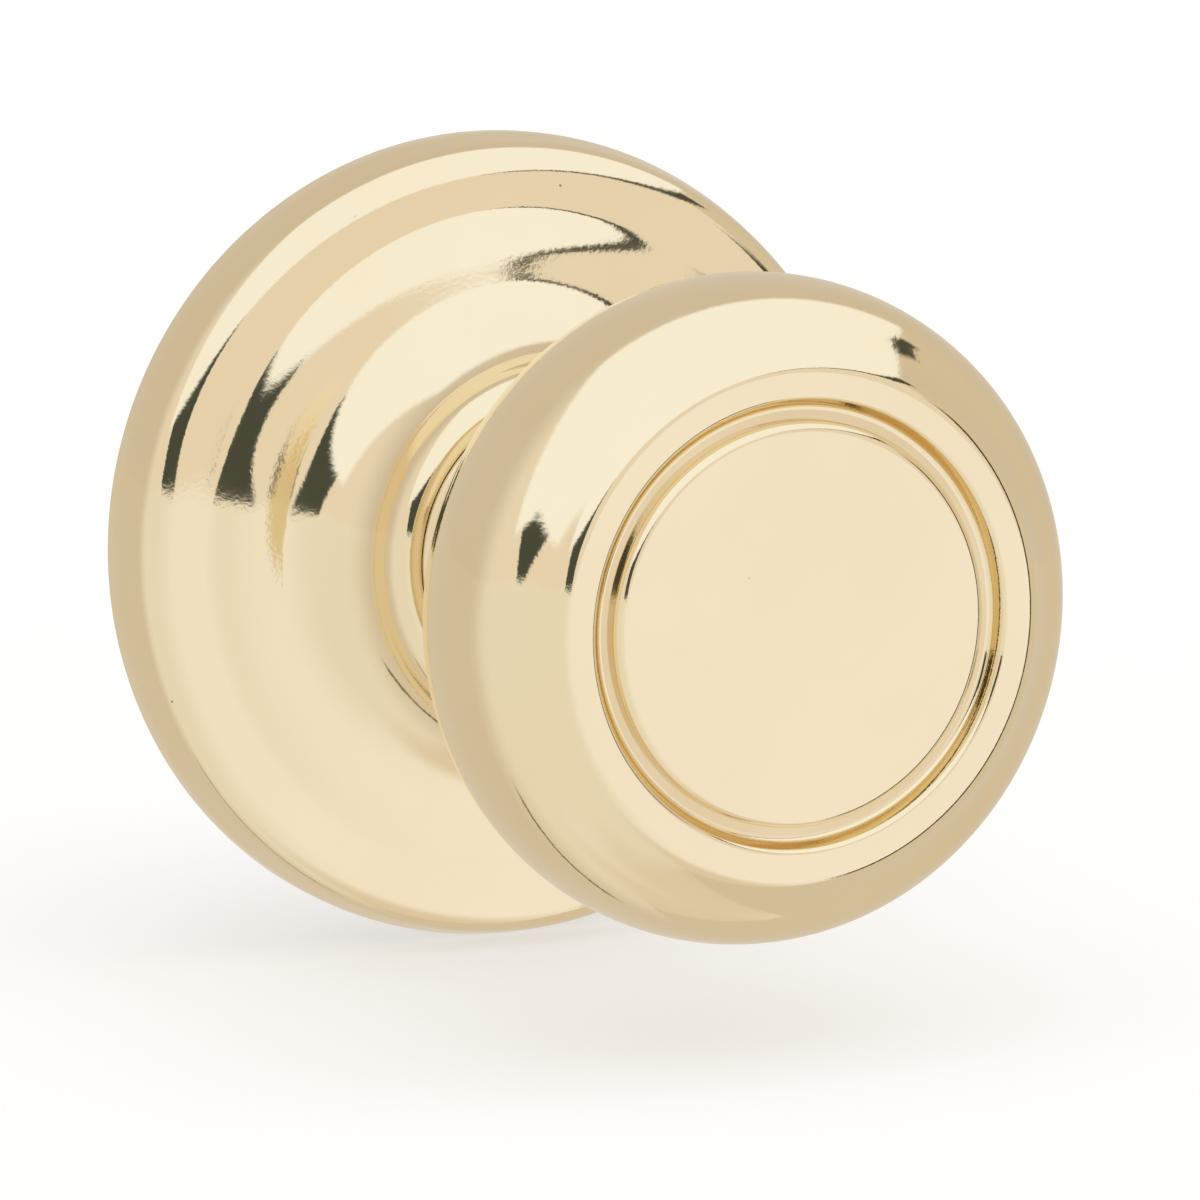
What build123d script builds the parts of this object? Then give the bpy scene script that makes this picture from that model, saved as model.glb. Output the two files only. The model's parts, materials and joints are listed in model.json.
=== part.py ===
from build123d import *
import math
import os

# Outside half of a tubular passage door knob set, in millimetres.
#
# Row frame: the door's face is the plane y = 0, the knob projects towards -Y and +Z is up. The origin
# is on the turning axis, in the door's face.
#
# Every piece is drawn in turning coordinates, with r the distance from the axis and h the height above
# the door's face (negative inside the door), and is stood up by to_row() when it is written.
#
# Round outlines are chains of tangent arcs. The tilt of a chain is the angle, in degrees, between the
# surface's outward normal and the axis: 0 faces straight out from the door, 90 faces away from the axis.

# ---- rose ------------------------------------------------------------------------------------------
ROSE_R = 33.35               # 66.7 mm (2-5/8 in) rose, covers the 54 mm bore
ROSE_RIM_H = 1.2             # straight wall of the rim
ROSE_WALL = 0.8
ROSE_ARCS = [                # (radius, tilt at the arc's end) from the rim inwards; + convex, - concave
    (6.0, 76),
    (60.0, 74),
    (2.4, 33),
    (3.8, 9.2),
    (145.0, 8.2),
    (-3.8, 18.5),
    (-12.0, 22.5),
    (15.0, 11.8),
    (265.0, 11.4),
    (-7.9, 33),
    (-8.6, 60),
    (-5.0, 78),
]
ROSE_CONE = 0.7              # straight slope between the cove and the bead
BEAD_ARCS = [                # bead round the shank's hole, and its turned-in lip
    (2.0, 0),
    (0.35, -75),
]
LIP_DEPTH = 1.6              # straight wall of the hole
ROSE_START_TILT = 90

# ---- knob ------------------------------------------------------------------------------------------
PROJECTION = 58.0            # door's face to the knob's flat face
SHELL_WALL = 0.8
LAND_R_IN, LAND_R_OUT = 16.84, 18.35
GROOVE_DEPTH = 1.15
GROOVE_R = 15.6              # foot of the groove's outer wall
GROOVE_FILLET, GROOVE_LIP, GROOVE_TILT = 0.55, 0.5, 62
KNOB_ARCS = [                # from the land outwards and round to the seam
    (1.3, 25),
    (2.2, 46),
    (-10.3, 30),
    (5.6, 72),
    (13.0, 100),
    (8.0, 128),
]
BACK_ARCS = [                # from the seam to the neck, and the flare down to the straight shank
    (8.0, 152),
    (-20.3, 95),
    (-10.1, 45),
]
SHANK_FOOT_H = 12.9
BACK_WALL = 0.8

# ---- face disc -------------------------------------------------------------------------------------
DISC_R = 14.9
DISC_EDGE = 0.8
DISC_WALL = 0.8
DISC_DEPTH = 3.0
RING_FOOT_R = 16.2
RING_FOOT = 0.8

# ---- turning parts ---------------------------------------------------------------------------------
SLEEVE_R, SLEEVE_BORE_R = 6.45, 4.0
SLEEVE_BACK_H, SLEEVE_FRONT_H, SLEEVE_CHAMFER = -12.0, 49.5, 0.4
RUN_GAP = 0.05               # radial running clearance of the sleeve in its bushes
CORE_HUB_R = 7.8
CORE_FLANGE_R, CORE_FLANGE_H = 16.6, 3.2
CORE_BOSS_R, CORE_BOSS_H = 13.0, 8.0
CORE_FOOT_R, CORE_FOOT_T = 11.6, 1.6
CORE_FOOT_H = 12.9
STAKE_WASHER_R, STAKE_WASHER_T = 10.0, 1.2
BLADE_R, BLADE_FLAT = 3.9, 0.9
BLADE_BACK_H, BLADE_FRONT_H, BLADE_TIP = -46.0, 24.0, 0.6
PIN_R, PIN_H = 1.2, 19.5
CLIP_GROOVE_R, CLIP_R, CLIP_T, CLIP_H = 5.6, 9.0, 0.8, -10.5
CLIP_MOUTH = 8.6

# ---- chassis ---------------------------------------------------------------------------------------
PLATE_R, PLATE_T = 31.6, 1.6
LUG_R, LUG_T, LUG_H, LUG_WIDTH, LUG_COUNT = 32.5, 1.2, 2.9, 9.0, 3
HUB_R, HUB_H, HUB_FLANGE_R, HUB_FLANGE_T = 9.5, 11.8, 13.0, 1.2
THRUST_R, THRUST_T = 11.4, 1.0
CUP_R, CUP_WALL, CUP_DEPTH, CUP_CORNER = 25.0, 1.2, 9.0, 2.4
TAB_WIDTH, TAB_INSET, TAB_COUNT = 6.0, 0.2, 4
BUSH_R, BUSH_FLANGE_R, BUSH_FLANGE_T, BUSH_H = 8.0, 9.6, 0.8, 2.4
REAR_WASHER_R, REAR_WASHER_T = 9.4, 0.4
POST_SPACING = 38.1          # 1-1/2 in between the through screws
POST_R, POST_SPIGOT_R, POST_BORE_R, POST_LENGTH, POST_CHAMFER = 3.5, 2.6, 1.75, 22.0, 0.5
INSERT_STEPS = [(29.4, 19.5, 1.6, 5.2), (24.4, 19.5, 5.2, 7.0)]     # r out, r in, h from, h to
INSERT_RIBS, INSERT_RIB_T, INSERT_RIB_R = 8, 1.2, 17.2

# ---- return spring ---------------------------------------------------------------------------------
TURN_LIMIT = 60
COIL_R, WIRE_R, COIL_TURNS = 12.2, 0.6, 3.5
COIL_BACK_H, COIL_FRONT_H = -6.8, -1.9
LEG_R = 17.2
LEG_ANGLE = 17.5             # from the driver's arm, either side
LEG_LAP = 1.5                # how far a leg's root lies back along the coil
DRIVER_HUB_R, DRIVER_FRONT_H, DRIVER_BACK_H = 10.2, -0.3, -6.6
ARM_HALF = 2.9
ARM_R_IN, ARM_R_OUT, ARM_T = 13.9, 15.2, 0.8
ANCHOR_R_IN, ANCHOR_R_OUT = 15.7, 17.0
STOP_ANGLE, STOP_T, STOP_H = 77.5, 1.6, 4.0


def to_row(piece):
    """Stand a piece up from turning coordinates: its height axis becomes -Y."""
    return piece.rotate(Axis.X, 90)


def normal(tilt):
    """Unit outward normal (r, h) of a surface with this tilt."""
    angle = math.radians(tilt)
    return math.sin(angle), math.cos(angle)


def arc_points(start, tilt, radius, end_tilt):
    """Middle and end of an arc that starts at a point with this tilt; a negative radius is concave."""
    n0 = normal(tilt)
    centre = (start[0] - radius * n0[0], start[1] - radius * n0[1])
    points = []
    for t in ((tilt + end_tilt) / 2, end_tilt):
        n = normal(t)
        points.append((centre[0] + radius * n[0], centre[1] + radius * n[1]))
    return points


def chain(start, tilt, arcs):
    """Edges of a run of tangent arcs, and the point where it ends."""
    edges = []
    for radius, end_tilt in arcs:
        middle, end = arc_points(start, tilt, radius, end_tilt)
        edges.append(Edge.make_three_point_arc((start[0], start[1], 0), (*middle, 0), (*end, 0)))
        start, tilt = end, end_tilt
    return edges, start


def sunk(start, tilt, arcs, wall):
    """The same run moved inwards by a wall's thickness, with its start and end."""
    n0 = normal(tilt)
    inner_start = (start[0] - wall * n0[0], start[1] - wall * n0[1])
    edges, end = chain(inner_start, tilt, [(radius - wall, end_tilt) for radius, end_tilt in arcs])
    return edges, inner_start, end


def line(a, b):
    return Edge.make_line((a[0], a[1], 0), (b[0], b[1], 0))


def path(points):
    """Straight edges through the points."""
    return [line(a, b) for a, b in zip(points, points[1:])]


def turned(edges):
    """Solid of revolution of a closed outline drawn with r along X and h along Y."""
    face = Face(Wire(edges))
    section = face.rotate(Axis.X, 90)
    return revolve(section, Axis.Z, 360)


def ring(r_out, r_in, h0, h1):
    """Plain round ring between two heights."""
    return turned(path([(r_in, h0), (r_out, h0), (r_out, h1), (r_in, h1), (r_in, h0)]))


def rod(r, h0, h1, x=0.0, y=0.0):
    """Round bar along the axis between two heights."""
    return Pos(x, y, (h0 + h1) / 2) * Cylinder(r, h1 - h0)


def block(x0, x1, y0, y1, h0, h1):
    """Box between two corners."""
    return Pos((x0 + x1) / 2, (y0 + y1) / 2, (h0 + h1) / 2) * Box(x1 - x0, y1 - y0, h1 - h0)


def spun(piece, angle):
    """The piece turned about the axis."""
    return piece.rotate(Axis.Z, angle)


# ---- rose and chassis ------------------------------------------------------------------------------
def rose():
    """Drawn brass rose: rim, two shallow rings, the cove up to the shank and the bead round the hole."""
    rim = (ROSE_R, ROSE_RIM_H)
    outer, top = chain(rim, ROSE_START_TILT, ROSE_ARCS)
    inner, inner_rim, inner_top = sunk(rim, ROSE_START_TILT, ROSE_ARCS, ROSE_WALL)
    tilt = ROSE_ARCS[-1][1]
    across, up = normal(tilt)
    bead_start = (top[0] - ROSE_CONE * up, top[1] + ROSE_CONE * across)
    bead, lip = chain(bead_start, tilt, BEAD_ARCS)
    edges = path([(ROSE_R, 0), rim]) + outer + path([top, bead_start]) + bead
    edges += path([lip, (lip[0], lip[1] - LIP_DEPTH), inner_top]) + inner
    return turned(edges + path([inner_rim, (inner_rim[0], 0), (ROSE_R, 0)]))


def rose_insert():
    """Ribbed plastic ring that stiffens the rose from inside."""
    body = None
    for r_out, r_in, h0, h1 in INSERT_STEPS:
        step = ring(r_out, r_in, h0, h1)
        body = step if body is None else body + step
    low, high = INSERT_STEPS[0][2], INSERT_STEPS[1][3]
    for k in range(INSERT_RIBS):
        rib = block(INSERT_RIB_R, INSERT_STEPS[0][1] + 1, -INSERT_RIB_T / 2, INSERT_RIB_T / 2, low, high)
        body += spun(rib, 360 * k / INSERT_RIBS)
    return body


def tab_angles():
    return [45 + 360 * k / TAB_COUNT for k in range(TAB_COUNT)]


def cup_tab(h1):
    """One tab of the spring housing, up to a height above the door's face."""
    r_out = CUP_R - TAB_INSET
    return block(r_out - CUP_WALL, r_out, -TAB_WIDTH / 2, TAB_WIDTH / 2, -CUP_WALL, h1)


def mounting_plate():
    """Steel plate on the door's face, with lugs that the rose snaps over."""
    body = ring(PLATE_R, HUB_R, 0, PLATE_T)
    for k in range(LUG_COUNT):
        lug = block(LUG_R - LUG_T, LUG_R, -LUG_WIDTH / 2, LUG_WIDTH / 2, 0, LUG_H)
        lug += block(LUG_R - 3 * LUG_T, LUG_R, -LUG_WIDTH / 2, LUG_WIDTH / 2, 0, PLATE_T)
        body += spun(lug & rod(LUG_R, 0, LUG_H), 90 + 360 * k / LUG_COUNT)
    for side in (-1, 1):
        body -= rod(POST_SPIGOT_R, -1, PLATE_T + 1, side * POST_SPACING / 2)
    for angle in tab_angles():
        body -= spun(cup_tab(PLATE_T + 1), angle)
    return body


def plate_hub():
    """Front bearing: a flanged steel bush pressed in the plate."""
    bore = SLEEVE_R + RUN_GAP
    tube = ring(HUB_R, bore, 0, HUB_H)
    return tube + ring(HUB_FLANGE_R, bore, PLATE_T, PLATE_T + HUB_FLANGE_T)


def thrust_washer():
    """Nylon washer between the hub and the knob's foot."""
    return ring(THRUST_R, SLEEVE_R + 2 * RUN_GAP, HUB_H, HUB_H + THRUST_T)


def cup():
    """Pressed cup with a round corner, open towards the plate."""
    side = (CUP_R, CUP_CORNER - CUP_DEPTH)
    corner = [(CUP_CORNER, 180)]
    outer, floor_out = chain(side, 90, corner)
    inner, inner_side, floor_in = sunk(side, 90, corner, CUP_WALL)
    floor = path([floor_out, (BUSH_R, -CUP_DEPTH), (BUSH_R, CUP_WALL - CUP_DEPTH), floor_in])
    return turned(outer + floor + inner + path([inner_side, (CUP_R - CUP_WALL, 0), (CUP_R, 0), side]))


def spring_housing():
    """Cup in the door's bore, with the spring's anchor and the two turning stops."""
    body = cup()
    floor = -CUP_DEPTH + CUP_WALL / 2
    body += block(-ARM_HALF, ARM_HALF, ANCHOR_R_IN, ANCHOR_R_OUT, floor, COIL_FRONT_H + WIRE_R)
    for side in (-1, 1):
        stop = block(-STOP_T / 2, STOP_T / 2, ARM_R_IN, ARM_R_OUT, floor, floor + STOP_H)
        body += spun(stop, side * STOP_ANGLE)
        body -= rod(POST_R, -CUP_DEPTH - 1, 0, side * POST_SPACING / 2)
    for angle in tab_angles():
        body += spun(cup_tab(PLATE_T), angle)
    return body


def rear_bush():
    """Rear bearing, pressed in the housing's floor."""
    bore = SLEEVE_R + RUN_GAP
    tube = ring(BUSH_R, bore, -CUP_DEPTH, -CUP_DEPTH + BUSH_H - BUSH_FLANGE_T)
    return tube + ring(BUSH_FLANGE_R, bore, -CUP_DEPTH + CUP_WALL, -CUP_DEPTH + CUP_WALL + BUSH_FLANGE_T)


def rear_washer():
    """Steel washer behind the housing."""
    top = -CUP_DEPTH
    return ring(REAR_WASHER_R, SLEEVE_R + 2 * RUN_GAP, top - REAR_WASHER_T, top)


def mounting_post(side):
    """Threaded stand-off that takes a through screw from the inside half."""
    back, edge = -POST_LENGTH, -POST_LENGTH + POST_CHAMFER
    outline = [(POST_BORE_R, edge), (POST_BORE_R + POST_CHAMFER, back), (POST_R - POST_CHAMFER, back),
               (POST_R, edge), (POST_R, 0), (POST_SPIGOT_R, 0), (POST_SPIGOT_R, PLATE_T),
               (POST_BORE_R, PLATE_T), (POST_BORE_R, edge)]
    return Pos(side * POST_SPACING / 2, 0, 0) * turned(path(outline))


# ---- turning parts ---------------------------------------------------------------------------------
def groove_wall():
    """Edges of the groove's outer wall, from its foot up to the land."""
    foot = (GROOVE_R, PROJECTION - GROOVE_DEPTH)
    low, low_end = chain(foot, 0, [(-GROOVE_FILLET, -GROOVE_TILT)])
    n = normal(-GROOVE_TILT)
    centre = (LAND_R_IN, PROJECTION - GROOVE_LIP)
    high_start = (centre[0] + GROOVE_LIP * n[0], centre[1] + GROOVE_LIP * n[1])
    high, land = chain(high_start, -GROOVE_TILT, [(GROOVE_LIP, 0)])
    return low + [line(low_end, high_start)] + high, foot, land


def knob_shell():
    """Drawn brass front of the knob: groove wall, land, shoulder and rim, down to the seam."""
    wall, foot, land = groove_wall()
    shoulder = (LAND_R_OUT, PROJECTION)
    outer, seam = chain(shoulder, 0, KNOB_ARCS)
    inner, inner_shoulder, inner_seam = sunk(shoulder, 0, KNOB_ARCS, SHELL_WALL)
    low = foot[1] - SHELL_WALL
    edges = wall + [line(land, shoulder)] + outer + [line(seam, inner_seam)] + inner
    edges += path([inner_shoulder, (LAND_R_IN + 0.5, inner_shoulder[1]), (foot[0] + SHELL_WALL, low),
                   (foot[0], low), foot])
    return turned(edges)


def seam_point():
    _, seam = chain((LAND_R_OUT, PROJECTION), 0, KNOB_ARCS)
    return seam


def knob_back():
    """Drawn brass back of the knob, with the neck and the straight shank that enters the rose."""
    start, tilt = seam_point(), KNOB_ARCS[-1][1]
    outer, flare = chain(start, tilt, BACK_ARCS)
    radius, end_tilt = BACK_ARCS[-1]
    shank_in = flare[0] - BACK_WALL
    centre_r = flare[0] - radius * normal(end_tilt)[0]
    inner_tilt = math.degrees(math.asin((centre_r - shank_in) / (BACK_WALL - radius)))
    inner_arcs = BACK_ARCS[:-1] + [(radius, inner_tilt)]
    inner, inner_start, inner_flare = sunk(start, tilt, inner_arcs, BACK_WALL)
    edges = outer + path([flare, (flare[0], SHANK_FOOT_H), (shank_in, SHANK_FOOT_H), inner_flare])
    return turned(edges + inner + [line(inner_start, start)])


def face_disc():
    """Shallow brass cup whose bottom is the knob's flat face."""
    edge, side = chain((DISC_R - DISC_EDGE, PROJECTION), 0, [(DISC_EDGE, 90)])
    low = PROJECTION - DISC_DEPTH
    under = PROJECTION - DISC_WALL
    r_in = DISC_R - DISC_WALL
    edges = path([(0, PROJECTION), (DISC_R - DISC_EDGE, PROJECTION)]) + edge
    edges += path([side, (DISC_R, low), (r_in, low), (r_in, under), (0, under), (0, PROJECTION)])
    return turned(edges)


def face_ring():
    """Brass ring at the bottom of the groove, with a foot that the front is pressed down on."""
    top = PROJECTION - GROOVE_DEPTH
    step = top - SHELL_WALL
    return ring(GROOVE_R, DISC_R, step, top) + ring(RING_FOOT_R, DISC_R, step - RING_FOOT, step)


def knob_core():
    """Cast core that carries the face and joins the knob to the sleeve."""
    top = PROJECTION - DISC_DEPTH
    hub = ring(CORE_HUB_R, SLEEVE_R, CORE_FOOT_H, top - CORE_FLANGE_H)
    flange = ring(CORE_FLANGE_R, SLEEVE_R, top - CORE_FLANGE_H, top)
    boss = ring(CORE_BOSS_R, SLEEVE_R, top - CORE_FLANGE_H - CORE_BOSS_H, top - CORE_FLANGE_H)
    foot = ring(CORE_FOOT_R, SLEEVE_R, CORE_FOOT_H, CORE_FOOT_H + CORE_FOOT_T)
    body = hub + flange + boss + foot
    seat = SLEEVE_FRONT_H
    body -= ring(STAKE_WASHER_R + 0.2, SLEEVE_R - 1, seat, seat + STAKE_WASHER_T)
    return body - ring(STAKE_WASHER_R + 0.2, 0.5, seat + STAKE_WASHER_T, top + 1)


def stake_washer():
    """Steel washer that the sleeve's front end is staked over."""
    return ring(STAKE_WASHER_R, SLEEVE_BORE_R, SLEEVE_FRONT_H, SLEEVE_FRONT_H + STAKE_WASHER_T)


def spindle_sleeve():
    """Steel tube that turns in the two bushes and carries the knob."""
    body = ring(SLEEVE_R, SLEEVE_BORE_R, SLEEVE_BACK_H, SLEEVE_FRONT_H)
    body = chamfer(body.edges().group_by(Axis.Z)[0], SLEEVE_CHAMFER)
    body -= ring(SLEEVE_R + 1, CLIP_GROOVE_R, CLIP_H, CLIP_H + CLIP_T)
    return body - cross_pin_bar()


def cross_pin_bar():
    return Pos(0, 0, PIN_H) * (Rotation(90, 0, 0) * Cylinder(PIN_R, 2 * SLEEVE_R))


def torque_blade():
    """Half-round blade that turns the latch."""
    bar = rod(BLADE_R, BLADE_BACK_H, BLADE_FRONT_H)
    bar -= block(-BLADE_R - 1, BLADE_R + 1, BLADE_FLAT, BLADE_R + 1, BLADE_BACK_H - 1, BLADE_FRONT_H + 1)
    bar = chamfer(bar.edges().group_by(Axis.Z)[0], BLADE_TIP)
    return bar - cross_pin_bar()


def blade_pin():
    """Cross pin through the sleeve and the blade."""
    return cross_pin_bar() & rod(SLEEVE_R, PIN_H - PIN_R - 1, PIN_H + PIN_R + 1)


def retaining_clip():
    """E-clip in the sleeve's groove, behind the housing."""
    body = ring(CLIP_R, CLIP_GROOVE_R, CLIP_H, CLIP_H + CLIP_T)
    return body - block(-CLIP_MOUTH / 2, CLIP_MOUTH / 2, -CLIP_R - 1, 0, CLIP_H - 1, CLIP_H + CLIP_T + 1)


def spring_driver():
    """Driver on the sleeve, whose bent arm pushes the spring's legs."""
    body = ring(DRIVER_HUB_R, SLEEVE_R, DRIVER_BACK_H, DRIVER_FRONT_H)
    body += block(-ARM_HALF, ARM_HALF, DRIVER_HUB_R - 1, ARM_R_OUT, DRIVER_FRONT_H - ARM_T, DRIVER_FRONT_H)
    return body + block(-ARM_HALF, ARM_HALF, ARM_R_IN, ARM_R_OUT, DRIVER_BACK_H, DRIVER_FRONT_H)


def return_spring():
    """Torsion spring with two legs either side of the driver's arm and the anchor."""
    height = COIL_FRONT_H - COIL_BACK_H
    turns = math.floor(COIL_TURNS) + 1 - 2 * LEG_ANGLE / 360
    coil_path = Helix(pitch=height / turns, height=height, radius=COIL_R)
    start = Plane(origin=coil_path @ 0, z_dir=coil_path % 0)
    coil = sweep(start * Circle(WIRE_R), path=coil_path, is_frenet=True)
    coil = spun(Pos(0, 0, COIL_BACK_H) * coil, 90 + LEG_ANGLE)
    for height_of_leg, angle in ((COIL_BACK_H, LEG_ANGLE + LEG_LAP), (COIL_FRONT_H, -LEG_ANGLE - LEG_LAP)):
        leg = Rotation(90, 0, 0) * Cylinder(WIRE_R, LEG_R - COIL_R)
        leg = Pos(0, (COIL_R + LEG_R) / 2, height_of_leg) * leg
        coil += spun(leg, angle)
    return coil


NODES = {
    "rose": rose,
    "rose_insert": rose_insert,
    "mounting_plate": mounting_plate,
    "plate_hub": plate_hub,
    "thrust_washer": thrust_washer,
    "spring_housing": spring_housing,
    "rear_bush": rear_bush,
    "rear_washer": rear_washer,
    "post_left": lambda: mounting_post(-1),
    "post_right": lambda: mounting_post(1),
    "knob_shell": knob_shell,
    "knob_back": knob_back,
    "face_disc": face_disc,
    "face_ring": face_ring,
    "knob_core": knob_core,
    "stake_washer": stake_washer,
    "spindle_sleeve": spindle_sleeve,
    "torque_blade": torque_blade,
    "blade_pin": blade_pin,
    "retaining_clip": retaining_clip,
    "spring_driver": spring_driver,
    "return_spring": return_spring,
}

os.makedirs("parts", exist_ok=True)
for name, make in NODES.items():
    export_step(to_row(make()), f"parts/{name}.step")
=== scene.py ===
"""Looks of the brass door knob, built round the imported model.

Row frame, in metres: the door's face is the plane y = 0, the knob projects towards -Y and +Z is up.
Round brass pieces are turned from outlines in (r, h): r from the axis and h above the door's face.
"""
import json
import math

import bmesh
import bpy
import numpy as np
from mathutils import Matrix, Vector

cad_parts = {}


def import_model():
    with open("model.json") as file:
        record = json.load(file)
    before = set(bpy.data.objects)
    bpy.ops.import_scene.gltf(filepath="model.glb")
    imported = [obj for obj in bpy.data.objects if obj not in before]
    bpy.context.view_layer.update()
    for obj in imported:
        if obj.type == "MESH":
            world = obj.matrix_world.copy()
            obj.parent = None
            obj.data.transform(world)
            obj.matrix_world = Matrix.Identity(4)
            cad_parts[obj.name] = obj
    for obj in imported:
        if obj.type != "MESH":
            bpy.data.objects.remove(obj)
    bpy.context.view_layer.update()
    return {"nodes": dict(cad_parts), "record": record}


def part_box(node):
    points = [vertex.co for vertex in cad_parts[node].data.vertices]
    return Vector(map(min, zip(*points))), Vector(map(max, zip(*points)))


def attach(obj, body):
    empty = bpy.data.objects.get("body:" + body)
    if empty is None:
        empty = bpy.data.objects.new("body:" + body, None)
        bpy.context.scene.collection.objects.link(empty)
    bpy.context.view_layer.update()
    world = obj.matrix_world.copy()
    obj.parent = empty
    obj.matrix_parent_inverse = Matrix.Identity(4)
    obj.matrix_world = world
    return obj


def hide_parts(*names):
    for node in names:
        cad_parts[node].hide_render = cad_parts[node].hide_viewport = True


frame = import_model()

MM = 0.001

# ---- driving sizes, from the frame -----------------------------------------------------------------
ROSE_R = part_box("rose")[1].x
PROJECTION = -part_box("face_disc")[0].y
SHANK_FOOT_H = -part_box("knob_back")[1].y
DISC_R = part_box("face_disc")[1].x
FLOOR_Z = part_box("rose")[0].z

# ---- outlines: chains of tangent arcs (radius in mm, tilt at the arc's end), + convex, - concave -----
ROSE_RIM_H = 1.2 * MM
ROSE_ARCS = [
    (6.0, 76), (60.0, 74), (2.4, 33),                   # rim
    (3.8, 9.2), (145.0, 8.2),                           # outer flat ring
    (-3.8, 18.5), (-12.0, 22.5),                        # step
    (15.0, 11.8), (265.0, 11.4),                        # inner flat ring
    (-7.9, 33), (-8.6, 60), (-5.0, 78),                 # cove up to the neck
]
ROSE_CONE = 0.7 * MM
BEAD_ARCS = [(2.45, 0), (0.35, -75)]
KNOB_ARCS = [(1.3, 25), (2.2, 46), (-10.3, 30), (5.6, 72), (13.0, 100), (8.0, 128)]     # land to seam
BACK_ARCS = [(8.0, 152), (-20.0, 95), (-9.6, 45)]       # seam to the flare over the rose's hole
COLLAR_EDGE = 0.25           # rounding of the neck's collar, in mm
COLLAR_LIP = 0.05 * MM       # straight edge of the collar, over the bead
COLLAR_RUN = 3 * MM          # height above the collar over which its flare is solid
SHANK_R = 12.2 * MM
LAND_R_IN, LAND_R_OUT = 16.84 * MM, 18.35 * MM
LAND_INSET = 0.5 * MM        # how far the land's underside stops short of the groove
GROOVE_DEPTH, GROOVE_R = 1.15 * MM, 15.6 * MM
GROOVE_FILLET, GROOVE_LIP, GROOVE_TILT = 0.55, 0.5, 62
DISC_EDGE = 0.8
DISC_DEPTH = 3.0 * MM
RING_FOOT_R, RING_FOOT = 16.2 * MM, 0.8 * MM
WALL = 0.8 * MM
LIP_DEPTH = 2 * WALL         # straight wall of the rose's hole
ARC_STEP = 2.0               # degrees of tilt between points on an arc
TURNS = 288                  # sides of a turned piece
CREASE = 32                  # degrees, above which an edge is sharp
ON_AXIS = 1e-7               # a smaller radius is a point on the axis


def normal(tilt):
    """Unit outward normal (r, h) of a surface with this tilt, in degrees from the knob's axis."""
    return np.array([math.sin(math.radians(tilt)), math.cos(math.radians(tilt))])


def chain(start, tilt, arcs, wall=0.0):
    """Points along a run of tangent arcs, moved inwards by a wall's thickness."""
    point = np.array(start, float) - wall * normal(tilt)
    points = [tuple(point)]
    for radius_mm, end_tilt in arcs:
        radius = radius_mm * MM - wall
        centre = point - radius * normal(tilt)
        steps = max(3, math.ceil(abs(end_tilt - tilt) / ARC_STEP))
        for k in range(1, steps + 1):
            point = centre + radius * normal(tilt + (end_tilt - tilt) * k / steps)
            points.append(tuple(point))
        tilt = end_tilt
    return points


def turned_ring(bm, r, h):
    """The vertices that a point of the outline draws when it turns: one on the axis, TURNS elsewhere."""
    if r < ON_AXIS:
        return [bm.verts.new((0, -h, 0))]
    angles = [2 * math.pi * k / TURNS for k in range(TURNS)]
    return [bm.verts.new((r * math.cos(a), -h, r * math.sin(a))) for a in angles]


def lathe(name, outline):
    """Closed turned piece from a closed outline in (r, h); points on the axis are joined."""
    bm = bmesh.new()
    rings = [turned_ring(bm, r, h) for r, h in outline]
    for a, b in zip(rings, rings[1:] + rings[:1]):
        if len(a) == len(b) == 1:
            continue
        for k in range(TURNS):
            n = (k + 1) % TURNS
            corners = [a[k % len(a)], a[n % len(a)], b[n % len(b)], b[k % len(b)]]
            bm.faces.new(list(dict.fromkeys(corners)))
    bmesh.ops.recalc_face_normals(bm, faces=bm.faces)
    for face in bm.faces:
        face.smooth = True
    mesh = bpy.data.meshes.new(name)
    bm.to_mesh(mesh)
    bm.free()
    mesh.set_sharp_from_angle(angle=math.radians(CREASE))
    piece = bpy.data.objects.new(name, mesh)
    bpy.context.scene.collection.objects.link(piece)
    return piece


def finish_piece(piece, body, node, material):
    """Paint a piece and let it stand for its CAD node."""
    piece.data.materials.append(material)
    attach(piece, body)
    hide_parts(node)


# ---- outlines --------------------------------------------------------------------------------------
def rose_outline():
    """Rim, rings, cove and bead outside; the same run a wall further in; and the hole's lip."""
    rim = (ROSE_R, ROSE_RIM_H)
    outer = chain(rim, 90, ROSE_ARCS)
    inner = chain(rim, 90, ROSE_ARCS, WALL)
    tilt = ROSE_ARCS[-1][1]
    slope = ROSE_CONE * np.array([-math.cos(math.radians(tilt)), math.sin(math.radians(tilt))])
    bead = chain(np.array(outer[-1]) + slope, tilt, BEAD_ARCS)
    hole, lip = bead[-1]
    inner = [p for p in inner if p[0] > hole + WALL]
    return [(ROSE_R, 0)] + outer + bead + [(hole, lip - LIP_DEPTH)] + inner[::-1] + [(ROSE_R - WALL, 0)]


def groove_wall():
    """Fillet, slope and rounded lip of the groove's outer wall."""
    low = chain((GROOVE_R, PROJECTION - GROOVE_DEPTH), 0, [(-GROOVE_FILLET, -GROOVE_TILT)])
    centre = np.array([LAND_R_IN, PROJECTION - GROOVE_LIP * MM])
    start = centre + GROOVE_LIP * MM * normal(-GROOVE_TILT)
    return low + chain(start, -GROOVE_TILT, [(GROOVE_LIP, 0)])


def knob_shell_outline():
    """Front of the knob, from the groove over the land and the shoulder to the seam."""
    wall = groove_wall()
    shoulder = (LAND_R_OUT, PROJECTION)
    outer = chain(shoulder, 0, KNOB_ARCS)
    inner = chain(shoulder, 0, KNOB_ARCS, WALL)
    low = wall[0][1] - WALL
    back = [(LAND_R_IN + LAND_INSET, inner[0][1]), (GROOVE_R + WALL, low), (GROOVE_R, low)]
    return wall + outer + inner[::-1] + back


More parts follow.
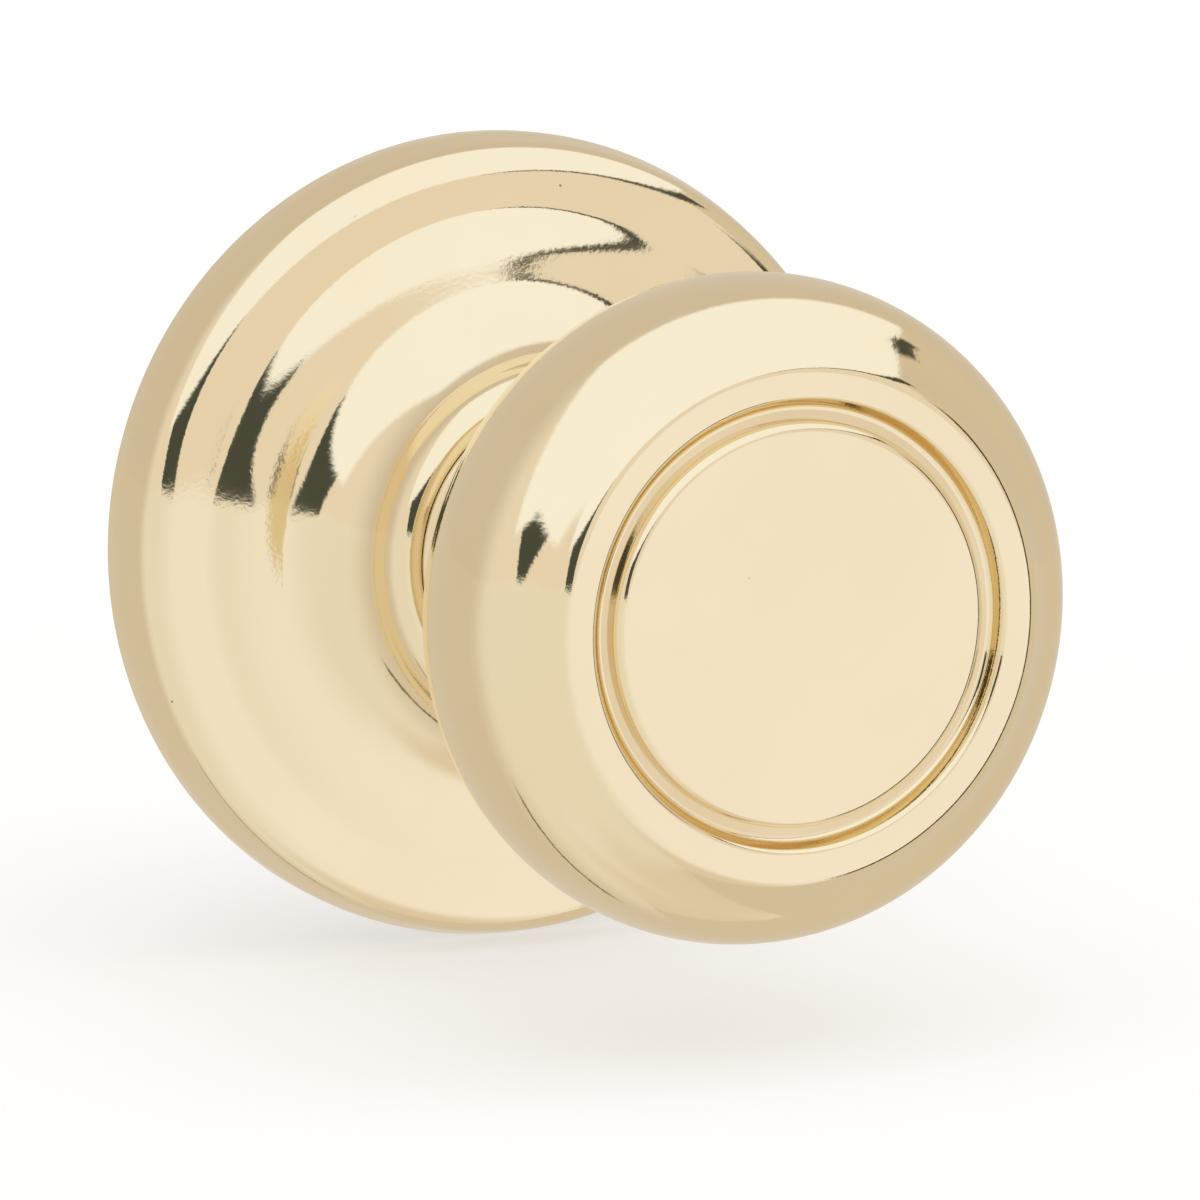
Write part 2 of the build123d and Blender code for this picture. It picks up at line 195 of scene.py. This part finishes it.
def knob_back_outline():
    """Back of the knob, from the seam to the neck, its collar and the shank inside the rose."""
    seam = chain((LAND_R_OUT, PROJECTION), 0, KNOB_ARCS)[-1]
    tilt = KNOB_ARCS[-1][1]
    outer = chain(seam, tilt, BACK_ARCS + [(COLLAR_EDGE, 90)])
    inner = chain(seam, tilt, BACK_ARCS, WALL)
    collar_r, collar_h = outer[-1]
    under, bore = collar_h - COLLAR_LIP, SHANK_R - WALL
    inner = [p for p in inner if p[0] < bore or p[1] > collar_h + COLLAR_RUN]
    shank = [(collar_r, under), (SHANK_R, under), (SHANK_R, SHANK_FOOT_H), (bore, SHANK_FOOT_H)]
    return outer + shank + inner[::-1]


def face_disc_outline():
    """Flat disc with a rounded edge, hollow behind."""
    edge = chain((DISC_R - DISC_EDGE * MM, PROJECTION), 0, [(DISC_EDGE, 90)])
    low, under, r_in = PROJECTION - DISC_DEPTH, PROJECTION - WALL, DISC_R - WALL
    return [(0, PROJECTION)] + edge + [(DISC_R, low), (r_in, low), (r_in, under), (0, under)]


def face_ring_outline():
    """Ring at the bottom of the groove, stepped behind the shell."""
    top = PROJECTION - GROOVE_DEPTH
    step = top - WALL
    foot = step - RING_FOOT
    outer = [(GROOVE_R, top), (GROOVE_R, step), (RING_FOOT_R, step), (RING_FOOT_R, foot)]
    return [(DISC_R, top)] + outer + [(DISC_R, foot)]


# ---- materials -------------------------------------------------------------------------------------
# Colours are linear. Noise and speck scales are in cells per metre, bump depths in metres.
BRASS_TONES = (0.885, 0.768, 0.54), (0.872, 0.748, 0.515)
# The groove ring's brass tones are darker than the rest: painted shade at the bottom of the groove.
GROOVE_SHADE_TONES = (0.80, 0.66, 0.43), (0.74, 0.59, 0.36)
ZINC_TONES = (0.70, 0.71, 0.73), (0.60, 0.60, 0.58)
SPRING_TONES = (0.34, 0.33, 0.32), (0.25, 0.24, 0.23)
CAST_TONES = (0.58, 0.58, 0.58), (0.46, 0.46, 0.47)
BLACK_TONES = (0.055, 0.055, 0.055), (0.035, 0.035, 0.037)
NYLON_TONES = (0.86, 0.85, 0.80), (0.82, 0.80, 0.73)
BRASS_PIT = (0.30, 0.20, 0.09)
MIRROR_ROUGH, GROOVE_ROUGH, SPUN_ROUGH = (0.03, 0.07), (0.07, 0.14), (0.13, 0.24)
ZINC_ROUGH, SPRING_ROUGH, CAST_ROUGH = (0.24, 0.40), (0.26, 0.42), (0.42, 0.60)
BLACK_ROUGH, NYLON_ROUGH = (0.42, 0.58), (0.34, 0.46)
PEEL_SCALE, PEEL_DEPTH = 2600, 4.0e-6
WAVE_SCALE, WAVE_DEPTH = 130, 1.5e-6
SPUN_SCALE, SPUN_DEPTH = (40, 5200, 40), 1.2e-6
ROLLED_SCALE, ROLLED_DEPTH = (4200, 4200, 90), 4e-6
SAND_SCALE, SAND_DEPTH = 1900, 2.2e-5
FLOW_SCALE, FLOW_DEPTH = 260, 3e-5
SKIN_SCALE, BLACK_SKIN, NYLON_SKIN = 3400, 1.2e-5, 5e-6
MOULD_SCALE, MOULD_DEPTH = 240, 4e-6
NYLON_GLOW, GLOW_REACH = 0.3, 0.001
SPOT_DARK, PORE_DARK = 0.6, 0.35             # share of the deep tone left in a spot or a pore
SPECK_CORE = 0.6                             # share of a spot's radius that is full
WIDE, MIDDLE = (0.3, 0.7), (0.35, 0.65)      # stretches of a noise's values that are used


def new_material(name, metallic=0.0):
    material = bpy.data.materials.new(name)
    material.use_nodes = True
    tree = material.node_tree
    shader = tree.nodes["Principled BSDF"]
    shader.inputs["Metallic"].default_value = metallic
    return material, tree, shader


def add_node(tree, kind, **values):
    node = tree.nodes.new(kind)
    for key, value in values.items():
        setattr(node, key, value)
    return node


def link(tree, source, target):
    tree.links.new(source, target)


def noise(tree, scale, detail=3.0):
    """Noise in the piece's own coordinates; three scales, for X, Y and Z, draw it out into lines."""
    vector = add_node(tree, "ShaderNodeTexCoord").outputs["Object"]
    node = add_node(tree, "ShaderNodeTexNoise")
    if isinstance(scale, tuple):
        stretch = add_node(tree, "ShaderNodeVectorMath", operation="MULTIPLY")
        link(tree, vector, stretch.inputs[0])
        stretch.inputs[1].default_value = scale
        vector, scale = stretch.outputs[0], 1.0
    node.inputs["Scale"].default_value = scale
    node.inputs["Detail"].default_value = detail
    link(tree, vector, node.inputs["Vector"])
    return node.outputs["Fac"]


def remap(tree, value, source, target=(0, 1)):
    """A value moved from one stretch of numbers to another, and held there."""
    node = add_node(tree, "ShaderNodeMapRange")
    link(tree, value, node.inputs["Value"])
    for name, number in zip(("From Min", "From Max", "To Min", "To Max"), (*source, *target)):
        node.inputs[name].default_value = number
    return node.outputs["Result"]


def bump(tree, height, depth, below=None):
    node = add_node(tree, "ShaderNodeBump")
    node.inputs["Distance"].default_value = depth
    link(tree, height, node.inputs["Height"])
    if below:
        link(tree, below, node.inputs["Normal"])
    return node.outputs["Normal"]


def mix(tree, mask, first, second):
    """first where the mask is 0, second where it is 1; each is a colour or a node's output."""
    node = add_node(tree, "ShaderNodeMix", data_type="RGBA")
    link(tree, mask, node.inputs["Factor"])
    for socket, value in ((node.inputs[6], first), (node.inputs[7], second)):
        if isinstance(value, tuple):
            socket.default_value = (*value, 1)
        else:
            link(tree, value, socket)
    return node.outputs[2]


def specks(tree, scale, size, share):
    """Mask of small round spots in a share of the cells of a Voronoi pattern."""
    place = add_node(tree, "ShaderNodeTexCoord")
    cells = add_node(tree, "ShaderNodeTexVoronoi")
    cells.inputs["Scale"].default_value = scale
    link(tree, place.outputs["Object"], cells.inputs["Vector"])
    dot = remap(tree, cells.outputs["Distance"], (size, size * SPECK_CORE))
    split = add_node(tree, "ShaderNodeSeparateColor")
    link(tree, cells.outputs["Color"], split.inputs[0])
    chosen = add_node(tree, "ShaderNodeMath", operation="LESS_THAN")
    link(tree, split.outputs[0], chosen.inputs[0])
    chosen.inputs[1].default_value = share
    both = add_node(tree, "ShaderNodeMath", operation="MULTIPLY", use_clamp=True)
    link(tree, dot, both.inputs[0])
    link(tree, chosen.outputs[0], both.inputs[1])
    return both.outputs[0]


def darker(colour, share):
    return tuple(share * c for c in colour)


def polished_brass(name, tones, rough):
    """Lacquered brass: mirror polish with faint orange peel, slow waves and a few pinholes."""
    material, tree, shader = new_material(name, metallic=1.0)
    pits = specks(tree, scale=900, size=0.12, share=0.006)
    tone = mix(tree, remap(tree, noise(tree, 60), MIDDLE), *tones)
    link(tree, mix(tree, pits, tone, BRASS_PIT), shader.inputs["Base Color"])
    link(tree, remap(tree, noise(tree, 300), WIDE, rough), shader.inputs["Roughness"])
    peel = bump(tree, noise(tree, PEEL_SCALE, 4.0), PEEL_DEPTH)
    link(tree, bump(tree, noise(tree, WAVE_SCALE, 1.0), WAVE_DEPTH, peel), shader.inputs["Normal"])
    return material


def spun_brass(name, tones, rough):
    """Brass left as it was spun: fine lines round the axis under the lacquer."""
    material, tree, shader = new_material(name, metallic=1.0)
    link(tree, mix(tree, remap(tree, noise(tree, 90), MIDDLE), *tones), shader.inputs["Base Color"])
    lines = noise(tree, SPUN_SCALE, 2.0)
    link(tree, remap(tree, lines, WIDE, rough), shader.inputs["Roughness"])
    link(tree, bump(tree, lines, SPUN_DEPTH), shader.inputs["Normal"])
    return material


def sheet_steel(name, tones, rough):
    """Plated or oiled steel: cloudy film over fine rolling lines, with dull spots."""
    material, tree, shader = new_material(name, metallic=1.0)
    tone = mix(tree, remap(tree, noise(tree, 170, 5.0), MIDDLE), *tones)
    spots = specks(tree, scale=700, size=0.2, share=0.04)
    link(tree, mix(tree, spots, tone, darker(tones[1], SPOT_DARK)), shader.inputs["Base Color"])
    lines = noise(tree, ROLLED_SCALE, 2.0)
    link(tree, remap(tree, lines, WIDE, rough), shader.inputs["Roughness"])
    link(tree, bump(tree, lines, ROLLED_DEPTH), shader.inputs["Normal"])
    return material


def cast_metal(name, tones, rough):
    """As-cast zinc alloy: sandy grain, flow marks and small pores."""
    material, tree, shader = new_material(name, metallic=1.0)
    tone = mix(tree, remap(tree, noise(tree, 120, 6.0), WIDE), *tones)
    pores = specks(tree, scale=1100, size=0.22, share=0.05)
    link(tree, mix(tree, pores, tone, darker(tones[1], PORE_DARK)), shader.inputs["Base Color"])
    link(tree, remap(tree, noise(tree, 700), WIDE, rough), shader.inputs["Roughness"])
    sand = bump(tree, noise(tree, SAND_SCALE, 5.0), SAND_DEPTH)
    link(tree, bump(tree, noise(tree, FLOW_SCALE, 2.0), FLOW_DEPTH, sand), shader.inputs["Normal"])
    return material


def moulded_plastic(name, tones, rough, skin_depth, glow):
    """Injection-moulded plastic: spark-eroded grain, faint flow lines and a soft skin sheen."""
    material, tree, shader = new_material(name)
    tone = mix(tree, remap(tree, noise(tree, 200, 4.0), MIDDLE), *tones)
    link(tree, tone, shader.inputs["Base Color"])
    link(tree, remap(tree, noise(tree, 1500), WIDE, rough), shader.inputs["Roughness"])
    shader.inputs["Subsurface Weight"].default_value = glow
    shader.inputs["Subsurface Scale"].default_value = GLOW_REACH
    skin = bump(tree, noise(tree, SKIN_SCALE, 3.0), skin_depth)
    link(tree, bump(tree, noise(tree, MOULD_SCALE, 1.0), MOULD_DEPTH, skin), shader.inputs["Normal"])
    return material


# ---- stage -----------------------------------------------------------------------------------------
CAMERA_TURN = 24.2           # degrees to the left of the knob's axis
CAMERA_RISE = 8.0
CAMERA_DISTANCE = 0.4082
CAMERA_RIGHT, CAMERA_UP = 0.00902, -0.00548     # where the camera aims, from the origin
CAMERA_ANGLE = 13.89
CAMERA_CLIP = 0.01, 100
FLOOR_SIZE, FLOOR_GAP = 30.0, 0.0005
FLOOR_PAINT, FLOOR_GLOW = (0.62, 0.61, 0.60), 0.5

# Colours of the studio, linear.
WALL_LIGHT = (0.90, 0.84, 0.77)
CEILING_LIGHT = (1.06, 1.10, 1.16)
SIDE_LIGHT = (0.84, 0.83, 0.80)
RIGHT_LIGHT = (0.74, 0.67, 0.56)
BACK_LIGHT = (0.70, 0.64, 0.56)
TABLE_LIGHT = (0.90, 0.88, 0.82)
TABLE_BRIGHT = (1.02, 1.01, 1.02)
TABLE_DEEP = (0.82, 0.75, 0.65)
TABLE_BACK = (0.72, 0.66, 0.57)
STREAK_LIGHT = (0.22, 0.20, 0.10)
OPENING_LIGHT = (0.075, 0.085, 0.07)
GAP_LIGHT = (0.06, 0.05, 0.03)
BACKDROP = (1.0, 1.0, 1.0)

# Places in the studio, as directions from the knob. side is degrees to the right of the camera, rise is
# degrees above the level, over is degrees above the table's far edge, and a slope is degrees above the
# great circle that has the pole given. A pair that falls says that the ramp runs the other way.
EDGE_TILT, EDGE_MIDDLE, EDGE_REACH = -0.175, 1.3, 25     # how the table's far edge drops to the right
EDGE_SOFT = 0.5
BEHIND_Y = -0.3, 0.4
SIDE_TURN, RIGHT_TURN = (-50, -80), (83, 85)
CEILING_RIGHT, CEILING_RIGHT_SOFT = (-0.623, 0.012, 0.782), (-0.4, 0.8)
CEILING_LEFT, CEILING_LEFT_SOFT = (0.696, -0.6845, 0.219), (-11, -5)
CEILING_RISE, CEILING_Y = (15.2, 18.2), (0.2, 0.08)
TRIM_SIDE, TRIM_GROWTH, TRIM_WIDTH, TRIM_SOFT = (42, 100), 0.06, 1.0, 0.3    # dark trim of the ceiling
TRIM_INNER, TRIM_RISE, TRIM_RUN = (0.2, -0.4), (16.0, 17.5), 3
BRIGHT_SIDE = -20, 50
DEEP_SIDE, DEEP_RISE = (-40, 20), (-48, -68)
STREAK, STREAK_HALF, STREAK_SOFT = (-0.186, 0.936, 0.299), 1.2, 0.7          # slot across the table
STREAK_X, STREAK_END, STREAK_RISE = (-0.66, -0.1), 0.06, (-35, -45)
GAP_SIDE, GAP_SIDE_SOFT, GAP_RISE, GAP_RISE_SOFT = (76, 87), 1.2, (-50, 20), 4
WAIST_RISE, WAIST_GROWTH, WAIST_SIDE, NEAR_SIDE = 7.0, 4.5, 9.8, 17.0        # opening's right edge
FAR_GROWTH, FAR_FOOT, FAR_SIDE = 0.6, 13.0, 24.0                             # and its left edge
OPENING_OVER, OPENING_SOFT = (0.0, 21.0), 0.7


def camera():
    turn, rise = math.radians(CAMERA_TURN), math.radians(CAMERA_RISE)
    forward = Vector((math.sin(turn) * math.cos(rise), math.cos(turn) * math.cos(rise), -math.sin(rise)))
    right = forward.cross(Vector((0, 0, 1))).normalized()
    up = right.cross(forward)
    data = bpy.data.cameras.new("camera")
    data.angle = math.radians(CAMERA_ANGLE)
    data.clip_start, data.clip_end = CAMERA_CLIP
    cam = bpy.data.objects.new("camera", data)
    place = right * CAMERA_RIGHT + up * CAMERA_UP - forward * CAMERA_DISTANCE
    turned = Matrix((right, up, -forward)).transposed().to_4x4()
    cam.matrix_world = Matrix.Translation(place) @ turned
    bpy.context.scene.collection.objects.link(cam)
    bpy.context.scene.camera = cam


def floor():
    """Plain pale floor under the rose, out of the brass's reflections, which the studio gives."""
    z = FLOOR_Z - FLOOR_GAP
    corners = [(x * FLOOR_SIZE, y * FLOOR_SIZE, z) for x, y in ((-1, -1), (1, -1), (1, 1), (-1, 1))]
    mesh = bpy.data.meshes.new("floor")
    mesh.from_pydata(corners, [], [(0, 1, 2, 3)])
    obj = bpy.data.objects.new("floor", mesh)
    bpy.context.scene.collection.objects.link(obj)
    material, tree, shader = new_material("floor_paint")
    shader.inputs["Base Color"].default_value = (*FLOOR_PAINT, 1)
    shader.inputs["Emission Color"].default_value = (1, 1, 1, 1)
    shader.inputs["Emission Strength"].default_value = FLOOR_GLOW
    shader.inputs["Roughness"].default_value = 1.0
    shader.inputs["Specular IOR Level"].default_value = 0.0
    mesh.materials.append(material)
    obj.visible_glossy = False


class Field:
    """Arithmetic on the direction that is looked in: x, y and z, rise, side and over."""

    def __init__(self, tree):
        self.tree = tree
        split = add_node(tree, "ShaderNodeSeparateXYZ")
        link(tree, add_node(tree, "ShaderNodeTexCoord").outputs["Generated"], split.inputs[0])
        self.x, self.y, self.z = split.outputs
        self.rise = self.math("DEGREES", self.math("ARCSINE", self.z))
        turn = self.math("ARCTAN2", self.x, self.math("MULTIPLY", self.y, -1.0))
        turn = self.math("ADD", self.math("DEGREES", turn), CAMERA_TURN)
        self.side = self.math("WRAP", turn, 180.0, -180.0)
        held = self.math("MINIMUM", self.math("MAXIMUM", self.side, -EDGE_REACH), EDGE_REACH)
        edge = self.math("MULTIPLY_ADD", held, EDGE_TILT, EDGE_MIDDLE)
        self.over = self.math("SUBTRACT", self.rise, edge)

    def math(self, operation, *values):
        node = add_node(self.tree, "ShaderNodeMath", operation=operation)
        for socket, value in zip(node.inputs, values):
            if isinstance(value, (int, float)):
                socket.default_value = value
            else:
                link(self.tree, value, socket)
        return node.outputs[0]

    def all(self, first, *masks):
        """1 where every mask is 1."""
        for mask in masks:
            first = self.math("MULTIPLY", first, mask)
        return first

    def ramp(self, value, stretch):
        """0 at the stretch's first number and beyond, 1 at its second, smooth between."""
        low, high = stretch
        rises = low < high
        node = add_node(self.tree, "ShaderNodeMapRange", interpolation_type="SMOOTHSTEP")
        link(self.tree, value, node.inputs["Value"])
        node.inputs["From Min"].default_value = min(low, high)
        node.inputs["From Max"].default_value = max(low, high)
        node.inputs["To Min"].default_value = 0 if rises else 1
        node.inputs["To Max"].default_value = 1 if rises else 0
        return node.outputs["Result"]

    def band(self, value, stretch, soft):
        """1 inside the stretch, with soft edges."""
        low, high = stretch
        return self.all(self.ramp(value, (low - soft, low + soft)),
                        self.ramp(value, (high + soft, high - soft)))

    def slope(self, pole):
        """Degrees above the great circle whose pole is given."""
        total = self.math("MULTIPLY", self.x, pole[0])
        total = self.math("MULTIPLY_ADD", self.y, pole[1], total)
        total = self.math("MULTIPLY_ADD", self.z, pole[2], total)
        return self.math("DEGREES", self.math("ARCSINE", total))

    def paint(self, base, colour, mask):
        return mix(self.tree, mask, base, colour)


def tent(field, behind):
    """Walls round the camera, at the left side, at the right and behind the knob."""
    light = field.paint(WALL_LIGHT, SIDE_LIGHT, field.ramp(field.side, SIDE_TURN))
    light = field.paint(light, RIGHT_LIGHT, field.ramp(field.side, RIGHT_TURN))
    return field.paint(light, BACK_LIGHT, behind)


def table(field, behind):
    """Table top: brighter to the right, duller below and behind, with a dark slot under the rose."""
    light = field.paint(TABLE_LIGHT, TABLE_BRIGHT, field.ramp(field.side, BRIGHT_SIDE))
    deep = field.all(field.ramp(field.side, DEEP_SIDE), field.ramp(field.rise, DEEP_RISE))
    light = field.paint(light, TABLE_DEEP, deep)
    light = field.paint(light, RIGHT_LIGHT, field.ramp(field.side, RIGHT_TURN))
    light = field.paint(light, TABLE_BACK, behind)
    streak = field.band(field.slope(STREAK), (-STREAK_HALF, STREAK_HALF), STREAK_SOFT)
    ends = field.band(field.x, STREAK_X, STREAK_END)
    return field.paint(light, STREAK_LIGHT, field.all(streak, ends, field.ramp(field.rise, STREAK_RISE)))


def opening(field):
    """Mask of the dark opening that the camera looks in through, narrowest just above the table."""
    waist = field.math("DIVIDE", field.math("SUBTRACT", field.rise, WAIST_RISE), WAIST_RISE)
    waist = field.math("MULTIPLY_ADD", field.math("POWER", waist, 2.0), WAIST_GROWTH, WAIST_SIDE)
    near = field.math("MINIMUM", waist, NEAR_SIDE)
    far = field.math("MINIMUM", field.math("MULTIPLY_ADD", field.rise, FAR_GROWTH, FAR_FOOT), FAR_SIDE)
    soft = (-OPENING_SOFT, OPENING_SOFT)
    return field.all(field.ramp(field.math("SUBTRACT", near, field.side), soft),
                     field.ramp(field.math("ADD", far, field.side), soft),
                     field.band(field.over, OPENING_OVER, OPENING_SOFT))


def ceiling(field, right):
    """Mask of the bright ceiling, between its left and right edges."""
    left = field.slope(CEILING_LEFT)
    return field.all(field.ramp(right, CEILING_RIGHT_SOFT), field.ramp(left, CEILING_LEFT_SOFT),
                     field.ramp(field.rise, CEILING_RISE), field.ramp(field.y, CEILING_Y))


def ceiling_trim(field, right):
    """Mask of the thin dark line along the ceiling's right edge, wider further round."""
    width = field.math("SUBTRACT", field.side, TRIM_SIDE[0])
    width = field.math("MULTIPLY_ADD", width, TRIM_GROWTH, TRIM_WIDTH)
    outer = field.ramp(field.math("ADD", right, width), (-TRIM_SOFT, TRIM_SOFT))
    return field.all(outer, field.ramp(right, TRIM_INNER), field.band(field.side, TRIM_SIDE, TRIM_RUN),
                     field.ramp(field.rise, TRIM_RISE))


def world():
    """White tent over a white table, with the opening that the camera looks in through."""
    studio = bpy.data.worlds.new("studio")
    bpy.context.scene.world = studio
    studio.use_nodes = True
    tree = studio.node_tree
    field = Field(tree)
    behind = field.ramp(field.y, BEHIND_Y)
    right = field.slope(CEILING_RIGHT)
    gap = field.all(field.band(field.side, GAP_SIDE, GAP_SIDE_SOFT),
                    field.band(field.rise, GAP_RISE, GAP_RISE_SOFT))
    below = field.ramp(field.over, (EDGE_SOFT, -EDGE_SOFT))
    light = field.paint(tent(field, behind), table(field, behind), below)
    light = field.paint(light, GAP_LIGHT, gap)
    light = field.paint(light, OPENING_LIGHT, opening(field))
    light = field.paint(light, CEILING_LIGHT, ceiling(field, right))
    light = field.paint(light, OPENING_LIGHT, ceiling_trim(field, right))
    seen = add_node(tree, "ShaderNodeLightPath")
    light = field.paint(light, BACKDROP, seen.outputs["Is Camera Ray"])
    link(tree, light, tree.nodes["Background"].inputs["Color"])


# ---- the object ------------------------------------------------------------------------------------
BRASS = polished_brass("polished_brass", BRASS_TONES, MIRROR_ROUGH)
# Darker brass on the groove ring: painted shade at the bottom of the groove; its rougher polish is real.
GROOVE_SHADED_BRASS = polished_brass("groove_brass_painted_shade", GROOVE_SHADE_TONES, GROOVE_ROUGH)
SPUN_BRASS = spun_brass("turned_brass", BRASS_TONES, SPUN_ROUGH)
TURNED_PIECES = [            # name, body, CAD node, outline, material
    ("rose_skin", "chassis", "rose", rose_outline(), BRASS),
    ("knob_front", "knob", "knob_shell", knob_shell_outline(), BRASS),
    ("knob_neck", "knob", "knob_back", knob_back_outline(), SPUN_BRASS),
    ("knob_disc", "knob", "face_disc", face_disc_outline(), BRASS),
    ("knob_groove_ring", "knob", "face_ring", face_ring_outline(), GROOVE_SHADED_BRASS),
]
for name, body, node, outline, material in TURNED_PIECES:
    finish_piece(lathe(name, outline), body, node, material)

FINISHES = {
    "zinc_plated_steel": sheet_steel("zinc_plated_steel", ZINC_TONES, ZINC_ROUGH),
    "spring_steel": sheet_steel("spring_steel", SPRING_TONES, SPRING_ROUGH),
    "cast_zinc": cast_metal("cast_zinc", CAST_TONES, CAST_ROUGH),
    "black_plastic": moulded_plastic("black_plastic", BLACK_TONES, BLACK_ROUGH, BLACK_SKIN, glow=0.0),
    "nylon": moulded_plastic("nylon", NYLON_TONES, NYLON_ROUGH, NYLON_SKIN, NYLON_GLOW),
}
for part in frame["record"]["subparts"]:
    if part["material_slot"] in FINISHES:
        mesh = frame["nodes"][part["node"]].data
        mesh.materials.clear()
        mesh.materials.append(FINISHES[part["material_slot"]])

camera()
floor()
world()
bpy.context.scene.view_settings.view_transform = "Standard"
